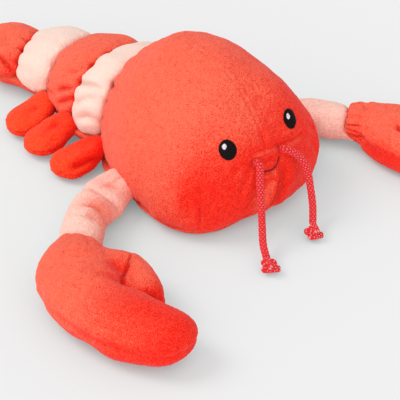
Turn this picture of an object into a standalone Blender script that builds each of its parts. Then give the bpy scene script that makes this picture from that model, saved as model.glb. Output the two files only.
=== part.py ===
"""A plush lobster that lies on its belly with its head towards -Y.

The trunk is a stuffed carapace and four tail bands in two colours, sewn all
round a low side seam to a flat belly panel. The legs, the arms with their
claws and the tail fan are stuffed pieces of their own, sewn into that seam.
The eyes and the mouth are embroidered. Two knitted cords with knotted ends
hang from the face as antennae.

Metres, +Z up. The origin is on the floor, in the middle of the flat belly
below the carapace. The lobster's own right side is at -X.
"""

import math

import bmesh
import bpy
from mathutils import Vector
from mathutils.bvhtree import BVHTree

# The clearance that each sewn piece keeps to its neighbour.
SEAM_GAP = 0.0003

# Carapace
SIDE_SEAM_HEIGHT = 0.011
CARAPACE_HALF_WIDTH = 0.0515
CARAPACE_RISE = 0.0655
CARAPACE_FRONT_Y = -0.0695
CARAPACE_BACK_Y = 0.0495
WIDEST_Y = -0.036
HIGHEST_Y = -0.001
PLAN_FULLNESS_FRONT = 3.0
PLAN_FULLNESS_BACK = 1.86
SIDE_FULLNESS_FRONT = 2.36
SIDE_FULLNESS_BACK = 1.5
SECTION_FULLNESS = 2.08
NECK_Y = 0.031

# Tail
BAND_NAMES = ("tail_band_pale_front", "tail_band_red_front", "tail_band_pale_rear", "tail_band_red_rear")
BAND_LENGTHS = (0.0245, 0.0305, 0.0305, 0.028)
SEAM_HALF_WIDTHS = (0.0310, 0.0305, 0.0240, 0.0182, 0.0185)
SEAM_RISES = (0.0380, 0.0318, 0.0245, 0.0170, 0.0135)
BAND_BULGE = 0.0034
BAND_FULLNESS = 2.5
TAIL_BEND = math.radians(40.0)

# Belly panel
BELLY_RIM = 0.0095
BELLY_TAIL_ROUNDING = 0.014

# Tail fan
FAN_LENGTH = 0.046
FAN_LOBE_HALF_WIDTH = 0.0150
FAN_HALF_THICKNESS = 0.0065
FAN_ROOT_HALF_WIDTH = 0.0105
FAN_SIDE_HALF_THICKNESS = 0.0056
FAN_SIDE_ROOT_HALF_WIDTH = 0.0070
FAN_SIDE_SETBACK = 0.0070
FAN_SIDE_OFFSET = 0.0025
FAN_SPREAD = math.radians(36.0)
FAN_TIP_DROP = 0.0035

# Legs
LEG_LENGTHS = (0.0435, 0.0430, 0.0430)
LEG_HALF_WIDTH = 0.0097
LEG_ROOT_HALF_WIDTH = 0.0070
LEG_HALF_THICKNESS = 0.0055
LEG_ROOT_DEPTH = 0.012
LEG_PLACES = (0.0275, 0.055, 0.080)
LEG_SWEEPS = (math.radians(6.0), math.radians(1.0), math.radians(0.0))

# Arms
ARM_ROUNDING = 0.0085

# Claws
FINGER_HALF_THICKNESS = 0.0140
FINGER_ROUNDING = 0.015
THUMB_HALF_THICKNESS = 0.0105
THUMB_ROUNDING = 0.008
CLAW_FLATNESS = 0.85

# Face
EYE_HEIGHT = 0.0469
EYE_SPACING = 0.0420
EYE_HALF_LONG = 0.0051
EYE_HALF_WIDE = 0.0045
EYE_TILT = math.radians(8.0)
GLINT_RADIUS = 0.0014
GLINT_OFFSET = (-0.0012, 0.0019)
PATCH_THICKNESS = 0.0009
GLINT_THICKNESS = 0.0006
MOUTH_HEIGHT = 0.0345
MOUTH_HALF_SPAN = 0.0078
MOUTH_SAG = 0.0034
MOUTH_THREAD_RADIUS = 0.0006

# Antennae
CORD_DIAMETER = 0.0040
CORD_STRAIGHT = 0.0030
CORD_EXIT_HEIGHT = 0.0373
CORD_EXIT_SPACING = 0.0181
KNOT_RADIUS = 0.0048

RED = (0.86, 0.075, 0.035)
PALE = (0.90, 0.66, 0.58)
ARM_PINK = (0.88, 0.45, 0.36)
BLACK = (0.012, 0.010, 0.012)
WHITE = (0.86, 0.86, 0.90)
CORD_RED = (0.72, 0.018, 0.035)
MOUTH_RED = (0.10, 0.006, 0.006)


def clear_scene():
    for old in list(bpy.data.objects):
        bpy.data.objects.remove(old)


def cloth_material(name, colour, roughness):
    material = bpy.data.materials.new(name)
    material.use_nodes = True
    shader = material.node_tree.nodes["Principled BSDF"]
    shader.inputs["Base Color"].default_value = (*colour, 1.0)
    shader.inputs["Roughness"].default_value = roughness
    shader.inputs["Metallic"].default_value = 0.0
    return material


def new_object(name, vertices, faces, material):
    """An object of one closed mesh, with its faces turned outwards."""
    mesh = bpy.data.meshes.new(name)
    mesh.from_pydata([tuple(v) for v in vertices], [], faces)
    work = bmesh.new()
    work.from_mesh(mesh)
    bmesh.ops.recalc_face_normals(work, faces=work.faces)
    work.to_mesh(mesh)
    work.free()
    mesh.shade_smooth()
    mesh.materials.append(material)
    made = bpy.data.objects.new(name, mesh)
    bpy.context.scene.collection.objects.link(made)
    return made


def skin(rings, first_pole=None, last_pole=None):
    """The vertices and faces over a row of equal rings, closed by a pole or a flat face at each end."""
    vertices = [point for ring in rings for point in ring]
    around = len(rings[0])
    faces = []
    for r in range(len(rings) - 1):
        for i in range(around):
            a = r * around + i
            b = r * around + (i + 1) % around
            faces.append((a, b, b + around, a + around))
    last = (len(rings) - 1) * around
    for pole, start in ((first_pole, 0), (last_pole, last)):
        if pole is None:
            faces.append(tuple(range(start, start + around)))
            continue
        vertices.append(pole)
        tip = len(vertices) - 1
        for i in range(around):
            faces.append((start + i, start + (i + 1) % around, tip))
    return vertices, faces


def superellipse(share, fullness):
    """The height of a unit superellipse at a share of its half-length."""
    return max(0.0, 1.0 - abs(share) ** fullness) ** (1.0 / fullness)


def power(value, exponent):
    return math.copysign(abs(value) ** exponent, value)


# The trunk's middle line, which bends towards the right side behind the neck
TAIL_LENGTH = sum(BAND_LENGTHS)
TAIL_END = NECK_Y + TAIL_LENGTH


SPINE_STEPS = 24


def spine(along):
    """The point on the floor below the middle line, and the heading there, at a distance along it."""
    past = max(0.0, along - NECK_Y)
    step = past / SPINE_STEPS
    foot = Vector((0.0, along - past, 0.0))
    for i in range(SPINE_STEPS):
        heading = TAIL_BEND * (step * (i + 0.5) / TAIL_LENGTH) ** 2
        foot += Vector((-math.sin(heading), math.cos(heading), 0.0)) * step
    return foot, TAIL_BEND * (past / TAIL_LENGTH) ** 2


def across(along, x, z):
    """A point x to the left and z above the spine's point."""
    foot, heading = spine(along)
    return foot + Vector((x * math.cos(heading), x * math.sin(heading), z))


ARCH_SIDES = 24


def arch(along, half_width, rise, fullness):
    """The trunk's section above the side seam, from the left seam over the top to the right seam."""
    points = []
    for i in range(ARCH_SIDES + 1):
        turn = math.pi * i / ARCH_SIDES
        x = half_width * power(math.cos(turn), 2.0 / fullness)
        z = SIDE_SEAM_HEIGHT + rise * max(0.0, math.sin(turn)) ** (2.0 / fullness)
        points.append(across(along, x, z))
    return points


def bow(y, middle, front_fullness, back_fullness):
    """A superellipse along Y that peaks at the middle and ends at the carapace's front and back."""
    if y < middle:
        return superellipse((middle - y) / (middle - CARAPACE_FRONT_Y), front_fullness)
    return superellipse((y - middle) / (CARAPACE_BACK_Y - middle), back_fullness)


def carapace_half_width(y):
    return CARAPACE_HALF_WIDTH * bow(y, WIDEST_Y, PLAN_FULLNESS_FRONT, PLAN_FULLNESS_BACK)


def carapace_rise(y):
    return CARAPACE_RISE * bow(y, HIGHEST_Y, SIDE_FULLNESS_FRONT, SIDE_FULLNESS_BACK)


CARAPACE_RINGS = 20


def make_carapace(material):
    length = NECK_Y - CARAPACE_FRONT_Y
    rings = []
    for i in range(1, CARAPACE_RINGS + 1):
        y = CARAPACE_FRONT_Y + length * (1 - math.cos(math.pi / 2 * i / CARAPACE_RINGS))
        rings.append(arch(y, carapace_half_width(y), carapace_rise(y), SECTION_FULLNESS))
    nose = Vector((0.0, CARAPACE_FRONT_Y, SIDE_SEAM_HEIGHT))
    vertices, faces = skin(rings, first_pole=nose)
    return new_object("carapace", vertices, faces, material)


def tail_size(along, sizes):
    """A seam size between the bands, without their bulge, at a distance along the spine."""
    start = NECK_Y
    for length, size, following in zip(BAND_LENGTHS, sizes, sizes[1:]):
        if along <= start + length:
            break
        start += length
    share = min(1.0, max(0.0, (along - start) / length))
    return size + (following - size) * share


BAND_RINGS = 7


def make_band(name, start, length, material):
    """One tail band: a stuffed ring that swells between its two seams."""
    rings = []
    for i in range(BAND_RINGS + 1):
        share = (1 - math.cos(math.pi * i / BAND_RINGS)) / 2
        along = start + SEAM_GAP + (length - SEAM_GAP) * share
        swell = BAND_BULGE * max(0.0, math.sin(math.pi * share)) ** 0.8
        half_width = tail_size(along, SEAM_HALF_WIDTHS) + swell
        rise = tail_size(along, SEAM_RISES) + swell
        rings.append(arch(along, half_width, rise, BAND_FULLNESS))
    vertices, faces = skin(rings)
    return new_object(name, vertices, faces, material)


def make_bands(materials):
    bands = []
    start = NECK_Y
    for i, (name, length) in enumerate(zip(BAND_NAMES, BAND_LENGTHS)):
        bands.append(make_band(name, start, length, materials[i % 2]))
        start += length
    return bands


BELLY_STEPS = 30
BELLY_LAYERS = 5


def belly_outline():
    """The panel's outline at the side seam: down the left side, round the tail's end and back."""
    length = TAIL_END - CARAPACE_FRONT_Y
    left = []
    right = []
    for i in range(1, BELLY_STEPS):
        along = CARAPACE_FRONT_Y + length * (1 - math.cos(math.pi * i / BELLY_STEPS)) / 2
        if along < NECK_Y:
            width = max(carapace_half_width(along), SEAM_HALF_WIDTHS[0] * superellipse(1 - i / 4, 2.0))
        else:
            width = tail_size(along, SEAM_HALF_WIDTHS)
        width *= superellipse(max(0.0, 1 - (TAIL_END - along) / BELLY_TAIL_ROUNDING), 2.0)
        left.append(across(along, width, 0.0))
        right.append(across(along, -width, 0.0))
    return [across(CARAPACE_FRONT_Y, 0.0, 0.0), *left, across(TAIL_END, 0.0, 0.0), *reversed(right)]


def make_belly(material):
    """The panel below the side seam, flat underneath, with a rounded lower rim."""
    outline = belly_outline()
    inwards = []
    for i, point in enumerate(outline):
        ahead = outline[(i + 1) % len(outline)] - outline[i - 1]
        inwards.append(Vector((-ahead.y, ahead.x, 0.0)).normalized())
    thick = SIDE_SEAM_HEIGHT - SEAM_GAP
    rings = []
    for layer in range(BELLY_LAYERS + 1):
        turn = math.pi / 2 * layer / BELLY_LAYERS
        up = Vector((0.0, 0.0, thick * (1 - math.cos(turn))))
        inset = BELLY_RIM * (1 - math.sin(turn))
        rings.append([point + inwards[i] * inset + up for i, point in enumerate(outline)])
    vertices, faces = skin(rings)
    return new_object("belly_panel", vertices, faces, material)


def curve_through(stations, samples):
    """Evenly spaced values on a smooth curve through the stations, tuples that start with x, y and z."""
    gaps = [(Vector(b[:3]) - Vector(a[:3])).length for a, b in zip(stations, stations[1:])]
    rates = []
    for gap, a, b in zip(gaps, stations, stations[1:]):
        rates.append([(q - p) / gap for p, q in zip(a, b)])
    slopes = [rates[0]]
    for i in range(1, len(gaps)):
        before, after = gaps[i - 1], gaps[i]
        slopes.append([(p * after + q * before) / (before + after) for p, q in zip(rates[i - 1], rates[i])])
    slopes.append(rates[-1])
    values = []
    for i in range(samples + 1):
        place = sum(gaps) * i / samples
        k = 0
        while k < len(gaps) - 1 and place > gaps[k]:
            place -= gaps[k]
            k += 1
        gap = gaps[k]
        t = place / gap
        row = []
        for a, b, m, n in zip(stations[k], stations[k + 1], slopes[k], slopes[k + 1]):
            row.append(a * (2 * t ** 3 - 3 * t ** 2 + 1) + b * (3 * t ** 2 - 2 * t ** 3)
                       + gap * (m * (t ** 3 - 2 * t ** 2 + t) + n * (t ** 3 - t ** 2)))
        values.append(tuple(row))
    return values


LIMB_SIDES = 16
LIMB_STEPS = 10
TIP_RINGS = 4


def limb_rings(stations, rounding):
    """Oval rings along stations of (x, y, z, half-width, half-thickness), and the tip's point.

    The last rings close as a quarter circle of the rounding's length before the last station."""
    values = curve_through(stations, LIMB_STEPS * 4)
    points = [Vector(v[:3]) for v in values]
    travelled = [0.0]
    for a, b in zip(points, points[1:]):
        travelled.append(travelled[-1] + (b - a).length)
    total = travelled[-1]

    def at(distance):
        k = 0
        while k < len(travelled) - 2 and travelled[k + 1] < distance:
            k += 1
        share = (distance - travelled[k]) / (travelled[k + 1] - travelled[k])
        low, high = values[k], values[k + 1]
        return [a + (b - a) * share for a, b in zip(low, high)]

    places = [((total - rounding) * i / LIMB_STEPS, 1.0) for i in range(LIMB_STEPS + 1)]
    for i in range(1, TIP_RINGS + 1):
        turn = math.pi / 2 * i / (TIP_RINGS + 1)
        places.append((total - rounding * (1 - math.sin(turn)), math.cos(turn)))
    rings = []
    for distance, scale in places:
        x, y, z, half_width, half_thickness = at(distance)
        ahead = Vector(at(min(total, distance + rounding * 0.3))[:3])
        behind = Vector(at(max(0.0, distance - rounding * 0.3))[:3])
        forward = (ahead - behind).normalized()
        side = forward.cross(Vector((0.0, 0.0, 1.0))).normalized()
        up = side.cross(forward)
        ring = []
        for i in range(LIMB_SIDES):
            turn = 2 * math.pi * i / LIMB_SIDES
            ring.append(Vector((x, y, z)) + side * (half_width * scale * math.cos(turn))
                        + up * (half_thickness * scale * math.sin(turn)))
        rings.append(ring)
    return rings, points[-1]


def make_limb(name, stations, rounding, material):
    rings, tip = limb_rings(stations, rounding)
    vertices, faces = skin(rings, last_pole=tip)
    return new_object(name, vertices, faces, material)


def hide_helper(helper):
    helper.hide_render = True
    helper.display_type = "WIRE"


def clearance_copy(source):
    """A hidden copy of a piece, grown by the seam's clearance, to trim its neighbours with."""
    graph = bpy.context.evaluated_depsgraph_get()
    mesh = bpy.data.meshes.new_from_object(source.evaluated_get(graph))
    work = bmesh.new()
    work.from_mesh(mesh)
    work.normal_update()
    moves = [(v, v.normal.copy()) for v in work.verts]
    for vertex, normal in moves:
        vertex.co += normal * SEAM_GAP * 1.3
    work.to_mesh(mesh)
    work.free()
    helper = bpy.data.objects.new(source.name + "_clearance", mesh)
    bpy.context.scene.collection.objects.link(helper)
    hide_helper(helper)
    return helper


def boolean(target, other, operation):
    cut = target.modifiers.new(operation.lower() + "_" + other.name, "BOOLEAN")
    cut.operation = operation
    cut.solver = "EXACT"
    cut.object = other


def trim(target, helpers):
    for helper in helpers:
        boolean(target, helper, "DIFFERENCE")


def fan_lobe(name, start, angle, length, root_half_width, half_thickness, material):
    """One flat stuffed lobe of the tail fan, which widens and droops towards its round tip."""
    ahead = Vector((-math.sin(angle), math.cos(angle), 0.0))
    stations = []
    for reach, width in (
        (0.0, root_half_width),
        (0.30, root_half_width * 1.1),
        (0.68, FAN_LOBE_HALF_WIDTH),
        (1.0, FAN_LOBE_HALF_WIDTH * 0.92),
    ):
        z = SIDE_SEAM_HEIGHT - FAN_TIP_DROP * reach
        stations.append((*(start + ahead * length * reach).xy, z, width, half_thickness))
    return make_limb(name, stations, FAN_LOBE_HALF_WIDTH * 0.9, material)


def make_fan(material):
    """The tail fan: three lobes that share the middle one's root, just behind the tail's end."""
    foot, heading = spine(TAIL_END)
    ahead = Vector((-math.sin(heading), math.cos(heading), 0.0))
    left = Vector((math.cos(heading), math.sin(heading), 0.0))
    fan = fan_lobe("tail_fan", foot + ahead * SEAM_GAP, heading, FAN_LENGTH, FAN_ROOT_HALF_WIDTH,
                   FAN_HALF_THICKNESS, material)
    for side, word in ((-1, "right"), (1, "left")):
        start = foot + ahead * FAN_SIDE_SETBACK + left * (side * FAN_SIDE_OFFSET)
        lobe = fan_lobe("tail_fan_" + word, start, heading - side * FAN_SPREAD, FAN_LENGTH - FAN_SIDE_SETBACK,
                        FAN_SIDE_ROOT_HALF_WIDTH, FAN_SIDE_HALF_THICKNESS, material)
        boolean(fan, lobe, "UNION")
        hide_helper(lobe)
    return fan


def make_leg(name, side, place, length, sweep, material, helpers):
    """A flat paddle that leaves the side seam and rests on its tip, swept towards the tail."""
    root = across(place, side * (tail_size(place, SEAM_HALF_WIDTHS) - LEG_ROOT_DEPTH), 0.0)
    heading = spine(place)[1] + side * sweep
    outward = Vector((side * math.cos(heading), side * math.sin(heading), 0.0))
    stations = []
    for reach, width, z in (
        (0.0, LEG_ROOT_HALF_WIDTH, SIDE_SEAM_HEIGHT),
        (0.35, LEG_ROOT_HALF_WIDTH, SIDE_SEAM_HEIGHT * 0.95),
        (0.70, LEG_HALF_WIDTH, SIDE_SEAM_HEIGHT * 0.65),
        (1.0, LEG_HALF_WIDTH * 0.92, LEG_HALF_THICKNESS),
    ):
        stations.append((*(root + outward * length * reach).xy, z, width, LEG_HALF_THICKNESS))
    leg = make_limb(name, stations, LEG_HALF_WIDTH, material)
    trim(leg, helpers)
    return leg


# The arms' middle lines as (x, y, half-thickness), and the claws' as (x, y, half-width),
# from the body outwards; the left arm is folded further forward
RIGHT_ARM = ((-0.036, -0.006, 0.0080), (-0.052, -0.0095, 0.0092), (-0.069, -0.0135, 0.0102),
             (-0.0825, -0.0205, 0.0104), (-0.093, -0.031, 0.0104), (-0.102, -0.044, 0.0104))
LEFT_ARM = ((0.036, -0.012, 0.0080), (0.051, -0.019, 0.0092), (0.064, -0.027, 0.0102),
            (0.0725, -0.0365, 0.0100), (0.079, -0.0465, 0.0095), (0.086, -0.057, 0.0090))
RIGHT_FINGER = ((-0.0985, -0.0370, 0.0115), (-0.1080, -0.0450, 0.0160), (-0.1168, -0.0560, 0.0190),
                (-0.1203, -0.0768, 0.0194), (-0.1162, -0.1058, 0.0168), (-0.1015, -0.1260, 0.0132))
LEFT_FINGER = ((0.0775, -0.0455, 0.0098), (0.0875, -0.0590, 0.0120), (0.0955, -0.0715, 0.0155),
               (0.1015, -0.0935, 0.0170), (0.0970, -0.1220, 0.0163), (0.0825, -0.1425, 0.0132))
RIGHT_THUMB = ((-0.1060, -0.0450, 0.0090), (-0.0970, -0.0540, 0.0101), (-0.0933, -0.0665, 0.0093),
               (-0.0950, -0.0800, 0.0082), (-0.1010, -0.0940, 0.0077))
LEFT_THUMB = ((0.0895, -0.0620, 0.0090), (0.0815, -0.0705, 0.0101), (0.0785, -0.0830, 0.0093),
              (0.0795, -0.0970, 0.0082), (0.0850, -0.1110, 0.0077))


def make_arm(name, plan, material, helpers):
    stations = [(x, y, thick + 0.0012, thick, thick) for x, y, thick in plan]
    arm = make_limb(name, stations, ARM_ROUNDING, material)
    trim(arm, helpers)
    return arm


def make_claw(name, finger_plan, thumb_plan, material):
    """A claw: a palm that runs on into the long finger, and a short thumb against its inner side."""
    stations = []
    for x, y, width in finger_plan:
        thick = min(FINGER_HALF_THICKNESS, width * CLAW_FLATNESS)
        stations.append((x, y, FINGER_HALF_THICKNESS + SEAM_GAP, width, thick))
    claw = make_limb(name, stations, FINGER_ROUNDING, material)
    stations = []
    for x, y, width in thumb_plan:
        stations.append((x, y, THUMB_HALF_THICKNESS + SEAM_GAP, width, THUMB_HALF_THICKNESS))
    thumb = make_limb(name + "_thumb", stations, THUMB_ROUNDING, material)
    boolean(claw, thumb, "UNION")
    hide_helper(thumb)
    return claw


def tree_of(source):
    graph = bpy.context.evaluated_depsgraph_get()
    return BVHTree.FromObject(source, graph)


def face_point(tree, x, z):
    """The point and outward normal on the carapace's front at a place seen from straight ahead."""
    ahead = CARAPACE_FRONT_Y * 2
    place, normal, _, _ = tree.ray_cast(Vector((x, ahead, z)), Vector((0.0, 1.0, 0.0)))
    return place, normal


PATCH_SIDES = 16
PATCH_RINGS = 3


def make_patch(name, tree, centre, half_long, half_wide, tilt, offset, lift, thickness, material):
    """An embroidered oval that follows the carapace's surface, lifted off it by a small clearance."""
    middle, normal = face_point(tree, *centre)
    side = Vector((0.0, 0.0, 1.0)).cross(normal).normalized()
    up = normal.cross(side)
    side, up = (side * math.cos(tilt) + up * math.sin(tilt), up * math.cos(tilt) - side * math.sin(tilt))
    middle = middle + side * offset[0] + up * offset[1]

    def seated(share, turn):
        point = middle + side * (half_wide * share * math.cos(turn)) + up * (half_long * share * math.sin(turn))
        place, out, _, _ = tree.find_nearest(point)
        return place, normal

    layers = []
    for height, shares in ((lift, (0.34, 0.67, 1.0)), (lift + thickness, (0.94, 0.64, 0.32))):
        for share in shares:
            ring = []
            for i in range(PATCH_SIDES):
                place, out = seated(share, 2 * math.pi * i / PATCH_SIDES)
                ring.append(place + out * height)
            layers.append(ring)
    under, out = seated(0.0, 0.0)
    vertices, faces = skin(layers, first_pole=under + out * lift, last_pole=under + out * (lift + thickness))
    return new_object(name, vertices, faces, material)


def tube_rings(points, radius, sides):
    rings = []
    for i, point in enumerate(points):
        ahead = points[min(i + 1, len(points) - 1)] - points[max(i - 1, 0)]
        forward = ahead.normalized()
        side = forward.cross(Vector((0.0, 0.0, 1.0))).normalized()
        up = side.cross(forward)
        ring = []
        for k in range(sides):
            turn = 2 * math.pi * k / sides
            ring.append(point + side * (radius * math.cos(turn)) + up * (radius * math.sin(turn)))
        rings.append(ring)
    return rings


MOUTH_STEPS = 10


def make_mouth(tree, material):
    """The stitched smile between the antennae."""
    points = []
    for i in range(MOUTH_STEPS + 1):
        share = 2 * i / MOUTH_STEPS - 1
        place, normal = face_point(tree, MOUTH_HALF_SPAN * share, MOUTH_HEIGHT - MOUTH_SAG * (1 - share ** 2))
        points.append(place + normal * (MOUTH_THREAD_RADIUS + SEAM_GAP))
    vertices, faces = skin(tube_rings(points, MOUTH_THREAD_RADIUS, 6))
    return new_object("mouth_stitch", vertices, faces, material)


# The antennae's routes between their exits and their knots, and where the knots lie on the floor
RIGHT_CORD = ((-0.0124, -0.0732, 0.0310), (-0.0165, -0.0790, 0.0215), (-0.0205, -0.0840, 0.0140),
              (-0.0255, -0.0903, 0.0076))
RIGHT_KNOT = (-0.0322, -0.1012)
LEFT_CORD = ((0.0140, -0.0738, 0.0345), (0.0157, -0.0785, 0.0275), (0.0145, -0.0825, 0.0195),
             (0.0119, -0.0873, 0.0110))
LEFT_KNOT = (0.0030, -0.0965)
CORD_STEPS = 16


def make_cord(name, side, tree, route, knot, material):
    """A cord as a bevelled curve that leaves the face squarely and ends just short of its knot."""
    start, normal = face_point(tree, side * CORD_EXIT_SPACING / 2, CORD_EXIT_HEIGHT)
    first = start + normal * 2 * SEAM_GAP
    second = start + normal * CORD_STRAIGHT
    last = knot + (Vector(route[-1]) - knot).normalized() * (KNOT_RADIUS + SEAM_GAP)
    curve = bpy.data.curves.new(name, "CURVE")
    curve.dimensions = "3D"
    curve.bevel_depth = CORD_DIAMETER / 2
    curve.bevel_resolution = 3
    curve.use_fill_caps = True
    line = curve.splines.new("POLY")
    points = curve_through([tuple(first), tuple(second), *route, tuple(last)], CORD_STEPS)
    line.points.add(len(points) - 1)
    for point, place in zip(line.points, points):
        point.co = (*place, 1.0)
    curve.materials.append(material)
    cord = bpy.data.objects.new(name, curve)
    bpy.context.scene.collection.objects.link(cord)
    return cord


def make_knot(name, centre, material):
    """The round knot at a cord's end, which lies on the floor."""
    mesh = bpy.data.meshes.new(name)
    work = bmesh.new()
    bmesh.ops.create_icosphere(work, subdivisions=2, radius=KNOT_RADIUS)
    work.to_mesh(mesh)
    work.free()
    mesh.shade_smooth()
    mesh.materials.append(material)
    knot = bpy.data.objects.new(name, mesh)
    knot.location = centre
    bpy.context.scene.collection.objects.link(knot)
    return knot


def build():
    clear_scene()
    red = cloth_material("red_plush", RED, 0.9)
    pale = cloth_material("pale_plush", PALE, 0.9)
    pink = cloth_material("arm_plush", ARM_PINK, 0.9)
    black = cloth_material("black_thread", BLACK, 0.5)
    white = cloth_material("white_thread", WHITE, 0.5)
    cord_red = cloth_material("cord", CORD_RED, 0.6)
    dark = cloth_material("mouth_thread", MOUTH_RED, 0.6)

    carapace = make_carapace(red)
    bands = make_bands((pale, red))
    belly = make_belly(red)
    trunk = [clearance_copy(piece) for piece in (carapace, *bands, belly)]

    make_fan(red)
    for side, word in ((-1, "right"), (1, "left")):
        for i, (place, length, sweep) in enumerate(zip(LEG_PLACES, LEG_LENGTHS, LEG_SWEEPS)):
            make_leg(f"leg_{word}_{i + 1}", side, place, length, sweep, red, trunk)

    claw_right = make_claw("claw_right", RIGHT_FINGER, RIGHT_THUMB, red)
    claw_left = make_claw("claw_left", LEFT_FINGER, LEFT_THUMB, red)
    make_arm("arm_right", RIGHT_ARM, pink, trunk + [clearance_copy(claw_right)])
    make_arm("arm_left", LEFT_ARM, pink, trunk + [clearance_copy(claw_left)])

    tree = tree_of(carapace)
    for side, word in ((-1, "right"), (1, "left")):
        centre = (side * EYE_SPACING / 2, EYE_HEIGHT)
        make_patch(f"eye_{word}", tree, centre, EYE_HALF_LONG, EYE_HALF_WIDE, -side * EYE_TILT, (0.0, 0.0),
                   SEAM_GAP, PATCH_THICKNESS, black)
        make_patch(f"eye_glint_{word}", tree, centre, GLINT_RADIUS, GLINT_RADIUS, 0.0, GLINT_OFFSET,
                   2 * SEAM_GAP + PATCH_THICKNESS, GLINT_THICKNESS, white)
    make_mouth(tree, dark)

    for word, side, route, place in (("right", -1, RIGHT_CORD, RIGHT_KNOT), ("left", 1, LEFT_CORD, LEFT_KNOT)):
        knot = Vector((*place, KNOT_RADIUS))
        make_cord(f"antenna_{word}", side, tree, route, knot, cord_red)
        make_knot(f"antenna_knot_{word}", knot, cord_red)


build()
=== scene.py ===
import math

import bmesh
import bpy
import numpy as np
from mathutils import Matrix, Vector
from mathutils.bvhtree import BVHTree


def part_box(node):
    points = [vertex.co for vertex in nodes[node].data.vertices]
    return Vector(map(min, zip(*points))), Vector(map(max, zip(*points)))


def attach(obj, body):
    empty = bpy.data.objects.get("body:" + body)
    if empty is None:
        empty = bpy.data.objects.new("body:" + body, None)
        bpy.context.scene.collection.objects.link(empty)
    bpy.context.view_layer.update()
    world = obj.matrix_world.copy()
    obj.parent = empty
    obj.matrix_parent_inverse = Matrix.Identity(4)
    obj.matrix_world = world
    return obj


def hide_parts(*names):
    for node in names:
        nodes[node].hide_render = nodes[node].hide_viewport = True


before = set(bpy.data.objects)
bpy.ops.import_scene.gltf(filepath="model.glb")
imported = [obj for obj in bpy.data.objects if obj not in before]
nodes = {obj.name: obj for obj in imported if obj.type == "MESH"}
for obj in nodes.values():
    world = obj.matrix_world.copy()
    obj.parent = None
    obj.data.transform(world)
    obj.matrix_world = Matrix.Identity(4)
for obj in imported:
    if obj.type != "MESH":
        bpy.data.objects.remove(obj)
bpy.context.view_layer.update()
scene = bpy.context.scene
MM = 0.001

# The camera
# The toy is seen from its own front right and from above, through a long lens. The camera is
# turned to a point on the floor under the body.
CAMERA_AIM = Vector((-17.0, -34.0, 0.0)) * MM
CAMERA_AZIMUTH = math.radians(-42.0)
CAMERA_ELEVATION = math.radians(37.0)
CAMERA_DISTANCE = 0.9
CAMERA_SENSOR = 36.0
CAMERA_LENS = 155.8
CAMERA_REACH = 20.0

camera = bpy.data.objects.new("camera", bpy.data.cameras.new("camera"))
camera.data.sensor_width = CAMERA_SENSOR
camera.data.lens = CAMERA_LENS
camera.data.clip_end = CAMERA_REACH
camera.location = CAMERA_AIM + CAMERA_DISTANCE * Vector((
    math.sin(CAMERA_AZIMUTH) * math.cos(CAMERA_ELEVATION),
    -math.cos(CAMERA_AZIMUTH) * math.cos(CAMERA_ELEVATION),
    math.sin(CAMERA_ELEVATION),
))
camera.rotation_euler = (math.pi / 2 - CAMERA_ELEVATION, 0.0, CAMERA_AZIMUTH)
scene.collection.objects.link(camera)
scene.camera = camera
scene.view_settings.view_transform = "Standard"

# The floor and the light
# A wide pale grey sheet lies under the toy. White light comes from all round, from one broad lamp
# high on the left of the view, which throws soft shadows to the right, and from a fill in front.
FLOOR_TONE = 0.84
FLOOR_GREY = (FLOOR_TONE, FLOOR_TONE, FLOOR_TONE, 1.0)
FLOOR_SIZE = 8.0
FLOOR_ROUGHNESS = 0.9
# the share of the floor's tone that takes the lamps' shadows where the camera sees it
SHADOW_SHARE = 0.55
# the rest of its tone is even, apart from a painted contact shadow this near to the toy
CONTACT_REACH = 0.11
CONTACT_SAMPLES = 12
# how open the floor is, and the share of the even tone that is left there, in red, green and blue, a
# painted contact shadow that keeps less red against the toy's red light
CONTACT_STEPS = (
    (0.0, (0.34, 0.50, 0.50)),
    (0.30, (0.48, 0.82, 0.82)),
    (0.55, (0.68, 1.0, 1.0)),
    (1.0, (1.0, 1.0, 1.0)),
)
ROOM_LIGHT = 0.62
LAMP_LIGHT = 1.12
FILL_LIGHT = 1.82


def new_material(name):
    """A material, its node tree and its main shader."""
    material = bpy.data.materials.new(name)
    material.use_nodes = True
    return material, material.node_tree, material.node_tree.nodes["Principled BSDF"]


def fill_in(node, values):
    """Sets inputs of a shader node."""
    for name, value in values.items():
        node.inputs[name].default_value = value


edge = FLOOR_SIZE / 2
floor_corners = [(-edge, -edge, 0), (edge, -edge, 0), (edge, edge, 0), (-edge, edge, 0)]
floor_mesh = bpy.data.meshes.new("floor")
floor_mesh.from_pydata(floor_corners, [], [(0, 1, 2, 3)])
floor = bpy.data.objects.new("floor", floor_mesh)
scene.collection.objects.link(floor)
floor_paper, paper, plain_paper = new_material("floor")
plain_paper.inputs["Base Color"].default_value = FLOOR_GREY
seen_paper = paper.nodes.new("ShaderNodeBsdfPrincipled")
seen_paper.inputs["Base Color"].default_value = (*(FLOOR_TONE * SHADOW_SHARE for _ in range(3)), 1.0)
for shader in (plain_paper, seen_paper):
    fill_in(shader, {"Roughness": FLOOR_ROUGHNESS, "Specular IOR Level": 0.0})
openness = paper.nodes.new("ShaderNodeAmbientOcclusion")
openness.samples = CONTACT_SAMPLES
openness.inputs["Distance"].default_value = CONTACT_REACH
painted_contact_shadow = paper.nodes.new("ShaderNodeValToRGB")
steps = painted_contact_shadow.color_ramp.elements
while len(steps) < len(CONTACT_STEPS):
    steps.new(0.5)
for step, (place, left) in zip(steps, CONTACT_STEPS):
    step.position = place
    step.color = (*(FLOOR_TONE * (1 - SHADOW_SHARE) * share for share in left), 1.0)
paper.links.new(openness.outputs["AO"], painted_contact_shadow.inputs["Fac"])
paper.links.new(painted_contact_shadow.outputs["Color"], seen_paper.inputs["Emission Color"])
seen_paper.inputs["Emission Strength"].default_value = 1.0
floor_ray = paper.nodes.new("ShaderNodeLightPath")
floor_mix = paper.nodes.new("ShaderNodeMixShader")
paper.links.new(floor_ray.outputs["Is Camera Ray"], floor_mix.inputs["Fac"])
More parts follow.
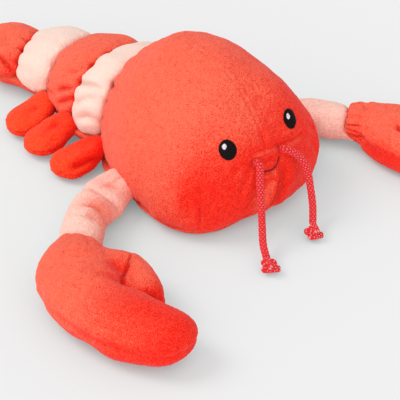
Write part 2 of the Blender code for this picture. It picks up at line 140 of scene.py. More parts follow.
paper.links.new(plain_paper.outputs["BSDF"], floor_mix.inputs[1])
paper.links.new(seen_paper.outputs["BSDF"], floor_mix.inputs[2])
paper.links.new(floor_mix.outputs["Shader"], paper.nodes["Material Output"].inputs["Surface"])
floor_mesh.materials.append(floor_paper)

room = bpy.data.worlds.new("room")
scene.world = room
room.use_nodes = True
room_nodes = room.node_tree.nodes
room_links = room.node_tree.links
room_light = room_nodes["Background"]
fill_in(room_light, {"Color": (1.0, 1.0, 1.0, 1.0), "Strength": ROOM_LIGHT})
room_view = room_nodes.new("ShaderNodeBackground")
room_view.inputs["Color"].default_value = FLOOR_GREY
ray = room_nodes.new("ShaderNodeLightPath")
room_mix = room_nodes.new("ShaderNodeMixShader")
room_links.new(ray.outputs["Is Camera Ray"], room_mix.inputs["Fac"])
room_links.new(room_light.outputs["Background"], room_mix.inputs[1])
room_links.new(room_view.outputs["Background"], room_mix.inputs[2])
room_links.new(room_mix.outputs["Shader"], room_nodes["World Output"].inputs["Surface"])

# each lamp's strength, its breadth in degrees, and the way its light goes
for name, strength, breadth, way in (
    ("broad_lamp", LAMP_LIGHT, 30.0, (0.60, -0.75, -1.15)),
    ("front_fill", FILL_LIGHT, 100.0, (0.62, 0.72, -0.24)),
):
    lamp = bpy.data.objects.new(name, bpy.data.lights.new(name, "SUN"))
    lamp.data.energy = strength
    lamp.data.angle = math.radians(breadth)
    lamp.rotation_euler = Vector(way).to_track_quat("-Z", "Y").to_euler()
    scene.collection.objects.link(lamp)

# The carapace
# Head and body are one big stuffed dome of coral red short pile plush, cut from two halves with
# a seam down the middle and turned in along the side seam. It is stuffed tight, with a full chin,
# and the seam under each cheek is gathered.
CARAPACE_CELL = 2.7 * MM
SEAM_DROP = 6.0
# the red plush's lit and shaded tones, painted light and shade that the pile mixes by the way each face
# turns
RED_LIT_TIPS = (0.95, 0.155, 0.086, 1.0)
RED_SHADED_ROOTS = (0.92, 0.011, 0.003, 1.0)


def even_skin(name, node, cell, rounding, plump=0.0):
    """An even cloth skin over one of the model's solids, with its hard edges rounded by the stuffing."""
    mesh = nodes[node].data.copy()
    mesh.name = name
    mesh.materials.clear()
    joined = bmesh.new()
    joined.from_mesh(mesh)
    bmesh.ops.remove_doubles(joined, verts=joined.verts, dist=0.00001)
    joined.to_mesh(mesh)
    joined.free()
    piece = bpy.data.objects.new(name, mesh)
    scene.collection.objects.link(piece)
    weave = piece.modifiers.new("even", "REMESH")
    weave.mode = "VOXEL"
    weave.voxel_size = cell
    stuffing = piece.modifiers.new("round", "SMOOTH")
    stuffing.factor = 0.5
    stuffing.iterations = rounding
    fine = piece.modifiers.new("fine", "SUBSURF")
    fine.levels = 2
    fine.render_levels = 2
    finished = piece.evaluated_get(bpy.context.evaluated_depsgraph_get())
    even = bpy.data.meshes.new_from_object(finished)
    piece.modifiers.clear()
    piece.data = even
    even.name = name
    even.shade_smooth()
    even.attributes.new("fold", "FLOAT", "POINT")
    even.attributes.new("brushed_and_shade", "FLOAT", "POINT")
    push_in(piece, np.full(len(even.vertices), -plump * MM), marked=False)
    return piece


def cloth_points(piece):
    spots = np.empty(len(piece.data.vertices) * 3)
    piece.data.vertices.foreach_get("co", spots)
    return spots.reshape(-1, 3)


def cloth_normals(piece):
    facing = np.empty(len(piece.data.vertices) * 3)
    piece.data.vertex_normals.foreach_get("vector", facing)
    return facing.reshape(-1, 3)


def place_points(piece, spots):
    """Moves the points of the cloth to new places."""
    piece.data.vertices.foreach_set("co", spots.ravel())
    piece.data.update()


def gap_to(spots, centre):
    """How far each point is from a place in millimetres."""
    return np.linalg.norm(spots - np.array(centre) * MM, axis=1)


def one_long(way):
    """A direction of length 1."""
    way = np.array(way, dtype=float)
    return way / np.linalg.norm(way)


def push_in(piece, depth, marked=True):
    """Pushes each point of the cloth in along its normal, and marks how deep it is folded, which the pile
    paints as shade.
    """
    place_points(piece, cloth_points(piece) - cloth_normals(piece) * depth[:, None])
    if marked:
        add_mark(piece, "fold", np.clip(depth / MM, 0.0, 3.0))


def add_mark(piece, name, amount):
    """Adds to one of the cloth's two marks: fold, painted as shade, or brushed_and_shade, painted as shade
    and below 0 as light.
    """
    mark = piece.data.attributes[name].data
    marks = np.empty(len(amount))
    mark.foreach_get("value", marks)
    mark.foreach_set("value", marks + amount)


def beside(spots, path):
    """How far each point is from a path, and how far along the path it lies, from 0 to 1."""
    path = np.array(path, dtype=float) * MM
    steps = np.linalg.norm(np.diff(path, axis=0), axis=1)
    starts = np.concatenate([[0.0], np.cumsum(steps)])
    nearest = np.full(len(spots), np.inf)
    along = np.zeros(len(spots))
    for i, step in enumerate(steps):
        run = path[i + 1] - path[i]
        share = np.clip((spots - path[i]) @ run / (step * step), 0.0, 1.0)
        gap = np.linalg.norm(spots - path[i] - share[:, None] * run, axis=1)
        closer = gap < nearest
        nearest[closer] = gap[closer]
        along[closer] = (starts[i] + share[closer] * step) / starts[-1]
    return nearest, along


def crease(piece, path, width, depth, lips=0.0, fade=0.5, marked=True):
    """A crease along a path in millimetres. The cloth swells beside it, and it fades at both ends."""
    gap, along = beside(cloth_points(piece), path)
    width = width * MM
    ends = np.sin(np.pi * np.clip(along, 0.02, 0.98)) ** fade
    valley = np.exp(-(gap / width) ** 2)
    swell = np.exp(-((gap - 2.3 * width) / (1.2 * width)) ** 2)
    push_in(piece, depth * MM * ends * (valley - lips * swell), marked)


def fold_over(piece, path, low_side, height, reach, fade=0.5):
    """Cloth folded up along a path, so that it steps down on the low side."""
    spots = cloth_points(piece)
    gap, along = beside(spots, path)
    path = np.array(path, dtype=float) * MM
    steps = np.linalg.norm(np.diff(path, axis=0), axis=1)
    places = np.concatenate([[0.0], np.cumsum(steps)]) / steps.sum()
    nearest = np.stack([np.interp(along, places, path[:, k]) for k in range(3)], axis=1)
    side = np.where((spots - nearest) @ np.array(low_side, dtype=float) > 0, 1.0, -1.0)
    ends = np.sin(np.pi * np.clip(along, 0.01, 0.99)) ** fade
    push_in(piece, height * MM * ends * np.tanh(side * gap / (0.9 * MM)) * np.exp(-gap / (reach * MM)))


def smooth_out(piece, centre, reach, rounds):
    """Lets the cloth bridge a groove round a point, as tight stuffing does."""
    spots = cloth_points(piece)
    give = 0.5 * np.exp(-(gap_to(spots, centre) / (reach * MM)) ** 4)[:, None]
    edges = np.empty(len(piece.data.edges) * 2, dtype=np.int64)
    piece.data.edges.foreach_get("vertices", edges)
    first, second = edges[0::2], edges[1::2]
    total = len(spots)
    count = np.bincount(edges, minlength=total)[:, None]
    for _ in range(rounds):
        mean = np.stack([
            np.bincount(first, spots[second, k], total) + np.bincount(second, spots[first, k], total)
            for k in range(3)
        ], axis=1) / count
        spots += give * (mean - spots)
    place_points(piece, spots)


def fullness(piece, centre, reach, height):
    """The stuffing swells out, or sinks in, round a point."""
    gap = gap_to(cloth_points(piece), centre)
    push_in(piece, -height * MM * np.exp(-(gap / (reach * MM)) ** 2), marked=False)


def brush_and_shade(piece, centre, reach, amount):
    """Where the pile is turned back round a point it shows its deeper colour, and the mark paints shade
    there; below 0 it shows its lighter colour, a painted highlight.
    """
    gap = gap_to(cloth_points(piece), centre)
    add_mark(piece, "brushed_and_shade", amount * np.exp(-(gap / (reach * MM)) ** 2))


def unevenness(piece, size, height, seed):
    """Slow lumps of stuffing, or at a small size the clumps of the pile."""
    chance = np.random.default_rng(seed)
    spots = cloth_points(piece)
    total = np.zeros(len(spots))
    for _ in range(18):
        way = chance.normal(size=3)
        way *= chance.uniform(0.7, 1.4) / np.linalg.norm(way)
        total += np.cos(spots @ way * (2 * math.pi / (size * MM)) + chance.uniform(0, 2 * math.pi))
    push_in(piece, height * MM * total / 3.0, marked=False)


def pile_clumps(piece, seed, height=0.05):
    """The small clumps that short pile lies in."""
    unevenness(piece, 1.9, height, seed)


def gathers(piece, centre, axis, reach, depth, count, seed):
    """Small pleats that run away from a sewn edge, which lies across the axis at the centre."""
    chance = np.random.default_rng(seed)
    spots = cloth_points(piece) - np.array(centre) * MM
    axis = one_long(axis)
    side = one_long(np.cross(axis, (0.0, 0.0, 1.0) if abs(axis[2]) < 0.9 else (0.0, 1.0, 0.0)))
    up = np.cross(side, axis)
    turn = np.arctan2(spots @ up, spots @ side)
    wander = sum(
        chance.uniform(0.3, 0.9) / k * np.sin(k * turn + chance.uniform(0, 6.28)) for k in (1, 2, 3, 5)
    )
    wave = turn * count / 2 + wander
    pleat = (0.5 + 0.5 * np.cos(2 * wave)) ** 2
    number = np.round(wave / math.pi).astype(int) % 97
    length = chance.uniform(0.45, 1.5, 97)[number] * reach * MM
    strength = chance.uniform(0.35, 1.0, 97)[number]
    fade = np.exp(-np.abs(spots @ axis) / length)
    push_in(piece, depth * MM * pleat * strength * fade)


def pile_and_painted_light():
    """Short pile, painted lighter on faces turned towards the lamp and deeper in folds and on steep sides,
    as painted light and shade.
    """
    pile = bpy.data.node_groups.new("pile_and_painted_light", "ShaderNodeTree")
    for name, kind, value in (
        ("Lit Tips", "NodeSocketColor", (1.0, 1.0, 1.0, 1.0)),
        ("Shaded Roots", "NodeSocketColor", (0.5, 0.5, 0.5, 1.0)),
        ("Painted Light", "NodeSocketFloat", 0.7),
        ("Grain", "NodeSocketFloat", 900.0),
        ("Speckle", "NodeSocketFloat", 0.5),
        ("Mottle", "NodeSocketFloat", 0.4),
        ("Fold", "NodeSocketFloat", 0.0),
        ("Brushed And Shade", "NodeSocketFloat", 0.0),
    ):
        socket = pile.interface.new_socket(name=name, in_out="INPUT", socket_type=kind)
        socket.default_value = value
    pile.interface.new_socket(name="Color", in_out="OUTPUT", socket_type="NodeSocketColor")
    pile.interface.new_socket(name="Height", in_out="OUTPUT", socket_type="NodeSocketFloat")
    make = pile.nodes.new
    link = pile.links.new
    given = make("NodeGroupInput")
    result = make("NodeGroupOutput")
    place = make("ShaderNodeTexCoord")
    surface = make("ShaderNodeNewGeometry")

    def noise(scale, detail, roughness):
        grain = make("ShaderNodeTexNoise")
        fill_in(grain, {"Scale": scale, "Detail": detail, "Roughness": roughness})
        link(place.outputs["Object"], grain.inputs["Vector"])
        return grain

    def sum_up(kind, first, second, third=None):
        step = make("ShaderNodeMath")
        step.operation = kind
        for socket, value in zip(step.inputs, (first, second, third)):
            if isinstance(value, (int, float)):
                socket.default_value = value
            elif value is not None:
                link(value, socket)
        return step.outputs["Value"]

    fibres = noise(900.0, 2.5, 0.6)
    link(given.outputs["Grain"], fibres.inputs["Scale"])
    clumps = noise(420.0, 2.0, 0.5)
    brushing = noise(34.0, 2.0, 0.55)
    # painted light: faces turned towards the lamp and up show the lighter colour, steep sides the deeper
    facing = make("ShaderNodeVectorMath")
    facing.operation = "DOT_PRODUCT"
    facing.inputs[1].default_value = (-0.42, 0.42, 0.80)
    link(surface.outputs["Normal"], facing.inputs[0])
    lit = make("ShaderNodeMapRange")
    lit.interpolation_type = "SMOOTHSTEP"
    fill_in(lit, {"From Min": -0.55, "From Max": 1.0})
    link(facing.outputs["Value"], lit.inputs["Value"])
    painted_light = sum_up("MULTIPLY", lit.outputs["Result"], given.outputs["Painted Light"])
    lit_tips = sum_up("ADD", painted_light, sum_up("SUBTRACT", 1.0, given.outputs["Painted Light"]))
    patches = sum_up("SUBTRACT", brushing.outputs["Fac"], 0.5)
    lit_tips = sum_up("MULTIPLY_ADD", patches, given.outputs["Mottle"], lit_tips)
    # painted shade: folds show the deeper colour
    lit_tips = sum_up("MULTIPLY_ADD", given.outputs["Fold"], -0.30, lit_tips)
    # the brushed_and_shade mark paints shade, and below 0 it paints light
    lit_tips = sum_up("MULTIPLY_ADD", given.outputs["Brushed And Shade"], -0.45, lit_tips)
    shown = make("ShaderNodeMapRange")
    shown.interpolation_type = "SMOOTHERSTEP"
    fill_in(shown, {"From Min": -0.45, "From Max": 1.25, "To Min": 0.07})
    link(lit_tips, shown.inputs["Value"])
    clump = sum_up("MULTIPLY", sum_up("SUBTRACT", clumps.outputs["Fac"], 0.5), 0.2)
    fleck = sum_up("ADD", sum_up("SUBTRACT", fibres.outputs["Fac"], 0.5), clump)
    fleck = sum_up("MULTIPLY", fleck, given.outputs["Speckle"])
    room = sum_up("MULTIPLY_ADD", shown.outputs["Result"], 0.7, 0.3)
    lit_tips = sum_up("MULTIPLY_ADD", fleck, room, shown.outputs["Result"])
    limit = make("ShaderNodeClamp")
    link(lit_tips, limit.inputs["Value"])
    blend = make("ShaderNodeMix")
    blend.data_type = "RGBA"
    link(limit.outputs["Result"], blend.inputs["Factor"])
    link(given.outputs["Shaded Roots"], blend.inputs["A"])
    link(given.outputs["Lit Tips"], blend.inputs["B"])
    # painted shade: the deepest folds are darkened further
    deep = make("ShaderNodeMapRange")
    fill_in(deep, {"From Min": 0.7, "From Max": 2.8, "To Min": 1.0, "To Max": 0.68})
    link(given.outputs["Fold"], deep.inputs["Value"])
    shade = sum_up("MULTIPLY_ADD", fleck, 0.20, 1.0)
    shade = sum_up("MULTIPLY", shade, deep.outputs["Result"])
    dimmed = make("ShaderNodeVectorMath")
    dimmed.operation = "SCALE"
    link(blend.outputs["Result"], dimmed.inputs[0])
    link(shade, dimmed.inputs["Scale"])
    link(dimmed.outputs["Vector"], result.inputs["Color"])
    height = sum_up("MULTIPLY_ADD", clumps.outputs["Fac"], 0.5, fibres.outputs["Fac"])
    link(height, result.inputs["Height"])
    return pile


PILE = pile_and_painted_light()
RED_SHEEN = (1.0, 0.66, 0.62, 1.0)


def plush(name, lit_tips, shaded_roots, painted_light=0.92, speckle=4.2, mottle=0.30, sheen=0.22, sheen_tint=RED_SHEEN):
    """Plush cloth in one colour, painted lighter towards the lamp and deeper in shade, with its soft sheen
    at the rims.
    """
    cloth, tree, shader = new_material(name)
    fill_in(shader, {"Roughness": 0.9, "Specular IOR Level": 0.15})
    fill_in(shader, {"Sheen Weight": sheen, "Sheen Roughness": 0.4, "Sheen Tint": sheen_tint})
    pile = tree.nodes.new("ShaderNodeGroup")
    pile.node_tree = PILE
    fill_in(pile, {"Lit Tips": lit_tips, "Shaded Roots": shaded_roots, "Painted Light": painted_light})
    fill_in(pile, {"Grain": 2000.0, "Speckle": speckle, "Mottle": mottle})
    for mark_name, socket in (("fold", "Fold"), ("brushed_and_shade", "Brushed And Shade")):
        mark = tree.nodes.new("ShaderNodeAttribute")
        mark.attribute_name = mark_name
        tree.links.new(mark.outputs["Fac"], pile.inputs[socket])
    bump = tree.nodes.new("ShaderNodeBump")
    fill_in(bump, {"Strength": 0.5, "Distance": 0.0008})
    tree.links.new(pile.outputs["Color"], shader.inputs["Base Color"])
    tree.links.new(pile.outputs["Height"], bump.inputs["Height"])
    tree.links.new(bump.outputs["Normal"], shader.inputs["Normal"])
    return cloth


def finish_cushion(piece, cloth, node):
    """Rests a cushion on the floor, dresses it in its cloth and sets it in place of its solid."""
    rested = cloth_points(piece)
    rested[:, 2] = np.maximum(rested[:, 2], 0.0)
    place_points(piece, rested)
    piece.data.materials.clear()
    piece.data.materials.append(cloth)
    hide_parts(node)
    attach(piece, "root")


red_plush = plush("coral_red_plush", RED_LIT_TIPS, RED_SHADED_ROOTS)

carapace = even_skin("carapace_plush", "carapace", CARAPACE_CELL, rounding=8, plump=0.3)
# the side seam lies low, where the dome turns in over the belly
hem = cloth_points(carapace)
hem[:, 2] -= SEAM_DROP * MM * np.clip((20.0 * MM - hem[:, 2]) / (9.0 * MM), 0.0, 1.0)
place_points(carapace, hem)
# the full chin, and the muzzle drawn in by the cords and the mouth stitches
fullness(carapace, (4, -68, 17), 15.0, 3.6)
upper_lip = [
    (-12, -64.5, 37.5), (-8.2, -65.5, 38.8), (-4.4, -66.4, 39.6),
    (1.8, -67, 39), (8, -66, 37.6), (12, -65, 37),
]
above_lip = [
    (-9.5, -64, 41.8), (-5, -65.5, 42.4), (0, -66, 42.2), (6, -65.5, 40.8), (10, -65, 39.5),
]
below_lip = [(-8, -67, 36.5), (-3, -67.5, 35.6), (3, -67.5, 35.6), (8, -66.5, 37)]
smile = [
    (-8, -68, 33), (-5.5, -68.5, 31), (-3, -69, 30),
    (0.5, -69, 30), (4.3, -68.5, 31.5), (8, -67.5, 34.5),
]
for path, width, depth, lips in (
    (upper_lip, 2.0, -1.5, 0.0),
    (above_lip, 1.5, 1.1, 0.2),
    (below_lip, 1.7, 1.2, 0.2),
    (smile, 1.5, 1.8, 0.3),
):
    crease(carapace, path, width, depth, lips)
for side in (-1, 1):
    fullness(carapace, (side * 9.2, -66.0, 37.5), 3.2, -2.4)
# painted shade round the upper lip
brush_and_shade(carapace, (-2, -66, 38), 12.0, 0.5)
# the chin seam: the cloth on its right is hollow and folded over the cloth on its left
chin_hollow = [(-4.5, -69.5, 28), (-6, -71.5, 21), (-8.5, -72, 14), (-10.5, -70, 7)]
chin_seam = [
    (4, -69, 31), (2.6, -71.2, 27), (1.4, -72.3, 23),
    (-0.6, -72.6, 17.5), (-2.3, -72, 12.5), (-3.5, -70.5, 6.5),
]
crease(carapace, chin_hollow, 4.6, 2.4, fade=0.8, marked=False)
fold_over(carapace, chin_seam, (1, -0.3, 0), 1.3, 5.0)
crease(carapace, [(x + 1.1, y, z) for x, y, z in chin_seam], 1.0, 1.5, 0.2)
crease(carapace, [(x + 4.5, y + 0.5, z) for x, y, z in chin_seam], 3.0, 1.7)
# painted shade on the left of the chin, and painted light on the facet on its right
for place, reach, amount in (
    ((9, -71, 18), 8.0, 1.3),
    ((-9, -70.5, 15), 6.0, -1.9),
    ((-2.5, -71.5, 23), 4.0, -1.3),
):
    brush_and_shade(carapace, place, reach, amount)
# the creases that fan out from the chin seam, from the two cords and up from the muzzle
down_cheek = [(-12, -66, 36), (-15.2, -66.8, 31.5), (-18.8, -67.3, 27), (-22, -67, 22.5)]
for path, width, depth, lips in (
    ([(-1, -70.5, 28), (-6.5, -71, 20.5), (-13.5, -70, 12.5), (-19, -67.5, 7)], 1.2, 0.8, 0.4),
    ([(-6.5, -69, 28.5), (-12.5, -69.5, 21), (-20, -67.5, 14)], 1.3, 0.6, 0.4),
    (down_cheek, 1.7, 1.2, 0.35),
    ([(-13, -65, 39), (-19, -64.8, 37.6), (-24, -64, 34.5)], 1.9, 0.9, 0.3),
    ([(11, -65.5, 38.2), (15.1, -64.6, 37.9), (20.8, -63.6, 37), (28.5, -62.5, 36.4)], 1.5, 2.0, 0.45),
    ([(12, -66, 32), (16, -66.5, 27), (19, -66.5, 21)], 2.2, 0.7, 0.3),
    ([(0.8, -61, 49), (0, -63.5, 45.5), (-0.8, -65.5, 42)], 1.8, 1.0, 0.3),
):
    crease(carapace, path, width, depth, lips)
# the gathered seam under the right cheek, and its match on the left
for side in (-1, 1):
    seam = [
        (side * 39.0, -57.5, 33.5), (side * 40.6, -59.8, 28.0), (side * 41.1, -60.6, 20.4),
        (side * 41.1, -61.0, 13.0), (side * 41.0, -60.5, 4.5),
    ]
    before_seam = [
        (side * 31.5, -64.2, 30.0), (side * 34.8, -63.4, 26.0),
        (side * 37.5, -62.8, 21.5), (side * 40.0, -62.0, 16.5),
    ]
    behind_seam = [(side * 45.5, -54.0, 29.0), (side * 46.5, -56.0, 21.0), (side * 45.0, -58.0, 13.0)]
    crease(carapace, seam, 5.0, 1.0, fade=0.8, marked=False)
    crease(carapace, seam[:4], 0.9, 1.5, 0.35)
    crease(carapace, seam[2:], 1.0, 0.5, 0.2)
    crease(carapace, before_seam, 1.7, 1.0, 0.4)
    crease(carapace, behind_seam, 3.2, 0.7, 0.2, marked=False)
    # painted shade along the seam and behind it
    brush_and_shade(carapace, (side * 39.0, -61.0, 27.0), 8.0, 0.8)
    brush_and_shade(carapace, (side * 44.0, -57.0, 26.0), 5.0, 0.9)
# the seam over the middle of the head and back, which wanders a little
TOP_SEAM = (
    (29, 40), (24, 56), (14, 70), (0, 76), (-18.6, 75.2),
    (-37.8, 69.4), (-49.7, 61.8), (-57.5, 53.5), (-62.5, 46),
)
top_seam = [(0.6 * math.sin(y / 9), y, z) for y, z in TOP_SEAM]
crease(carapace, top_seam, 0.75, 0.62, 0.35, fade=0.25)
# the left half, away from the lamp, is painted deeper as shade, and its pile lies the other way from the
# seam; the cheeks, the chin and the sides get painted shade too
across = cloth_points(carapace)[:, 0] / MM
add_mark(carapace, "brushed_and_shade", 0.4 * np.clip((across - 0.5) / 1.5, 0.0, 1.0))
for place, reach, amount in (
    ((-30, -60, 26), 25.0, 1.25),
    ((-42, -52, 38), 14.0, 0.6),
    ((6, -70, 20), 22.0, 0.7),
    ((44, -45, 28), 26.0, 1.15),
    ((42, -20, 52), 28.0, 0.8),
    ((-50, -30, 10), 16.0, 0.5),
):
    brush_and_shade(carapace, place, reach, amount)
# the small gathers at the tail's seam and all along the side seam
gathers(carapace, (0, 32, 20), (0, 1, 0), reach=13.0, depth=2.6, count=24, seed=3)
gathers(carapace, (0, -8, 7.5), (0, 0, 1), reach=4.0, depth=0.7, count=44, seed=4)
unevenness(carapace, 34.0, 0.35, seed=5)
unevenness(carapace, 9.0, 0.08, seed=6)
pile_clumps(carapace, seed=7)
finish_cushion(carapace, red_plush, "carapace")

# The belly panel
# One long piece of the same red plush closes the body and tail from below. It lies on the floor,
# flattened by the toy's weight, and shows as a low rim under the side seam.
BELLY_CELL = 5.0 * MM
BELLY_RIM = 11.0

belly = even_skin("belly_plush", "belly_panel", BELLY_CELL, rounding=2)
rim = cloth_points(belly)
back = rim[:, 1] / MM
# under the body the rim is as low as the side seam
under_body = np.clip((36.0 * MM - rim[:, 1]) / (8.0 * MM), 0.0, 1.0)
rim[:, 2] *= 1.0 - under_body * SEAM_DROP / BELLY_RIM
# it bulges out where it shows behind the arms, and is drawn in under the head
shown = np.clip((back - 2.0) / 12.0, 0.0, 1.0) * np.clip((84.0 - back) / 14.0, 0.0, 1.0)
bulge = 0.09 + 0.07 * np.exp(-((back - 48.0) / 9.0) ** 2)
hidden = np.clip((6.0 - back) / 10.0, 0.0, 1.0)
rim[:, 0] *= 1.0 + bulge * shown - 0.045 * hidden
rim[:, 1] *= 1.0 - 0.045 * hidden
place_points(belly, rim)
unevenness(belly, 26.0, 0.12, seed=12)
finish_cushion(belly, red_plush, "belly_panel")

# The tail bands
# Four stuffed bands, pale cream pink and coral red by turns, are sewn end to end behind the body
# and curve to the right. Each seam draws the cloth into small gathers.
# the cream plush's lit and shaded tones, painted light and shade
PALE_LIT_TIPS = (0.94, 0.715, 0.615, 1.0)
PALE_SHADED_ROOTS = (0.93, 0.50, 0.40, 1.0)
PALE_SHEEN = (1.0, 0.9, 0.86, 1.0)
BAND_CELL = 2.25 * MM
# the centre of each seam on the floor, and the tail's heading there in degrees
TAIL_SEAMS = (
    ((0, 31), 0.0),
    ((-0.3, 55.5), 1.9),
    ((-3, 85.9), 9.4),
    ((-11.2, 115.2), 22.7),
    ((-25.5, 139.1), 40.0),
)

pale_plush = plush(
    "cream_pink_plush", PALE_LIT_TIPS, PALE_SHADED_ROOTS, painted_light=0.8, speckle=1.2, sheen=0.2, sheen_tint=PALE_SHEEN,
)
BANDS = (
    ("tail_band_pale_front", pale_plush, "pale_plush", 0.8),
    ("tail_band_red_front", red_plush, "red_plush", 0.8),
    ("tail_band_pale_rear", pale_plush, "pale_plush", 0.75),
    ("tail_band_red_rear", red_plush, "red_plush", 0.6),
)
bands = {}
for number, (node, cloth, slot, fill) in enumerate(BANDS):
    band = even_skin(node + "_plush", node, BAND_CELL, rounding=6, plump=0.3)
    # the gathers at its front seam and at its rear seam
    for end, reach in ((number, 6.0), (number + 1, 8.0)):
        (x, y), heading = TAIL_SEAMS[end]
        way = (-math.sin(math.radians(heading)), math.cos(math.radians(heading)), 0.0)
        gathers(band, (x, y, 11.0), way, reach, 1.45, count=18 - 2 * end, seed=20 + 2 * number + end)
    unevenness(band, 22.0, 0.3, seed=30 + number)
    pile_clumps(band, seed=40 + number)
    bands[node] = band
# the folds in the slack last red band
for path, width, depth in (
    ([(-34, 122, 27), (-33, 117, 24), (-30.7, 112, 19.6), (-28, 108, 13)], 1.8, 2.0),
    ([(-20, 130, 27), (-22, 123, 27), (-21, 116, 25)], 2.2, 1.4),
    ([(-8, 122, 24), (-9, 128, 23), (-14, 134, 20)], 2.0, 1.3),
):
    crease(bands["tail_band_red_rear"], path, width, depth, 0.4)
# the pleats along the first pale band, and those that run back from its rear seam
long_pleat = [
    (-25.1, 55.5, 31.8), (-25.2, 51.4, 34.6), (-26.9, 42.9, 39.1), (-26.1, 38, 39.6), (-25.3, 33.5, 38.7),
]
side_pleat = [
    (-32.2, 51, 24.5), (-32.2, 47.2, 27.6), (-31.6, 42.7, 30.9), (-30.3, 39.1, 32.4), (-29.2, 35, 32.8),
]
low_pleat = [(-34.5, 47.5, 16.5), (-34, 42.9, 20.1), (-33.2, 38.7, 22.8), (-32.2, 34, 23)]
top_pleat = [(-14, 53, 41), (-14.5, 46, 44.5), (-15, 38, 46)]
for path, width, depth in (
    (long_pleat, 1.6, 1.7),
    (side_pleat, 1.8, 1.0),
    (low_pleat, 1.8, 1.0),
    (top_pleat, 2.0, 0.9),
):
    crease(bands["tail_band_pale_front"], path, width, depth, 0.35)
for path in (
    [(-27.6, 56, 29.6), (-29.3, 62, 27.4), (-30, 68, 23)],
    [(-28.8, 55.5, 23.7), (-30.8, 58.8, 21.9), (-31.5, 65, 17)],
    [(-19, 56.5, 38.5), (-22.5, 62, 34.5), (-25, 68, 30)],
    [(-27, 84, 15), (-29.5, 77, 18), (-31, 70, 20)],
):
    crease(bands["tail_band_red_front"], path, 1.6, 1.7, 0.35)
# the corners of the last band, where it turns in to the fan
for corner in ((-11.5, 150.5, 9), (-39.5, 127.5, 9)):
    smooth_out(bands["tail_band_red_rear"], corner, 8.0, 80)
# painted shade on the front red band by its seam, and over the rear pale band
brush_and_shade(bands["tail_band_red_front"], (-28, 60, 27), 10.0, 0.15)
brush_and_shade(bands["tail_band_pale_rear"], (-22, 92, 20), 26.0, 0.6)
for node, cloth, slot, fill in BANDS:
    finish_cushion(bands[node], cloth, node)

# The tail fan
# Three flat stuffed lobes of red plush close the end of the tail. A seam runs round their edge
# and two lines of stitches part them.
FAN_CELL = 2.2 * MM
STITCH_HEADINGS = (24, 56)
# each stitch line's points, by their distance from the last band and their height
STITCH_LINE = ((8, 16.2), (20, 15.6), (31, 15), (43, 13.5))

fan = even_skin("tail_fan_plush", "tail_fan", FAN_CELL, rounding=3)


def edge_seam(piece, depth, sharpness=0.16):
    """The seam round the edge of a flat stuffed piece, where its top cloth meets its bottom cloth."""
    level = cloth_normals(piece)[:, 2]
    push_in(piece, depth * MM * np.exp(-(level / sharpness) ** 2))


edge_seam(fan, 0.8)
(root_x, root_y), _ = TAIL_SEAMS[-1]
for heading in STITCH_HEADINGS:
    right, back = math.sin(math.radians(heading)), math.cos(math.radians(heading))
    stitches = [(root_x - away * right, root_y + away * back, z) for away, z in STITCH_LINE]
    crease(fan, stitches, 1.2, 1.2, 0.4, fade=0.25)
unevenness(fan, 16.0, 0.25, seed=51)
pile_clumps(fan, seed=52)
finish_cushion(fan, red_plush, "tail_fan")

# The legs
# Six flat stuffed paddles of a deeper orange red plush are caught in the side seam, three on
# each side. Each has a seam round its edge and a lengthwise dent.
# the leg plush's lit and shaded tones, painted light and shade
LEG_LIT_TIPS = (0.95, 0.078, 0.022, 1.0)
LEG_SHADED_ROOTS = (0.90, 0.005, 0.001, 1.0)
LEG_CELL = 1.9 * MM
LEG_BROADER = 0.17
# how far each pair lies in towards the body, and how far back
LEG_NUDGES = ((-0.3, -1.5), (1, 1.3), (1.2, 2.6))
# how much painted shade each pair gets beside the body, most on the front pair in the carapace's shade
LEG_SHADE = (2, 1.3, 0.7)
# the dent along each front leg, from its end to the body
FRONT_DENT = ((60.5, 25.5, 6.1), (54, 21.4, 9.6), (46, 19.6, 10.6), (38, 20.5, 9))

leg_plush = plush("orange_red_plush", LEG_LIT_TIPS, LEG_SHADED_ROOTS, painted_light=0.9, sheen=0.2)


def broaden(piece, share):
    """Widens a flat piece across its length."""
    spots = cloth_points(piece)
    flat = (spots - spots.mean(axis=0))[:, :2]
    across = np.linalg.eigh(flat.T @ flat)[1][:, 0]
    spots[:, :2] += (flat @ across)[:, None] * across * share
    place_points(piece, spots)


for side, hand in ((-1, "right"), (1, "left")):
    for number, (inward, backward) in enumerate(LEG_NUDGES):
        node = f"leg_{hand}_{number + 1}"
        leg = even_skin(node + "_plush", node, LEG_CELL, rounding=3, plump=0.5)
        broaden(leg, LEG_BROADER)
        place_points(leg, cloth_points(leg) + np.array((-side * inward, backward, 0.0)) * MM)
        low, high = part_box(node)
        outer = (low.x if side < 0 else high.x) / MM
        inner = (high.x if side < 0 else low.x) / MM
        middle = (low.y + high.y) / 2 / MM
        if number == 0:
            crease(leg, [(side * x, y, z) for x, y, z in FRONT_DENT], 2.4, 2.6, 0.3)
        else:
            near = inner + (outer - inner) * 0.30
            far = inner + (outer - inner) * 0.72
            top = high.z / MM
            slope = 1.5 * (number - 1)
            crease(leg, [(near, middle + slope, top), (far, middle - slope, top - 1.0)], 3.0, 1.8, 0.1)
        edge_seam(leg, 0.45)
        brush_and_shade(leg, (inner, middle, 12.0), 24.0, LEG_SHADE[number])
        unevenness(leg, 14.0, 0.22, seed=60 + 3 * number + side)
        pile_clumps(leg, seed=70 + 3 * number + side)
        finish_cushion(leg, leg_plush, node)

# The arms
# Two tubes of pale salmon plush come out of the side seam and bend forward. They are stuffed
# loosely, so the cloth wrinkles at the body, at the wrist and inside the bend.
# the arm plush's lit and shaded tones, painted light and shade
ARM_LIT_TIPS = (0.96, 0.62, 0.52, 1.0)
ARM_SHADED_ROOTS = (0.92, 0.17, 0.10, 1.0)
ARM_SHEEN = (1.0, 0.85, 0.8, 1.0)
ARM_CELL = 2.0 * MM
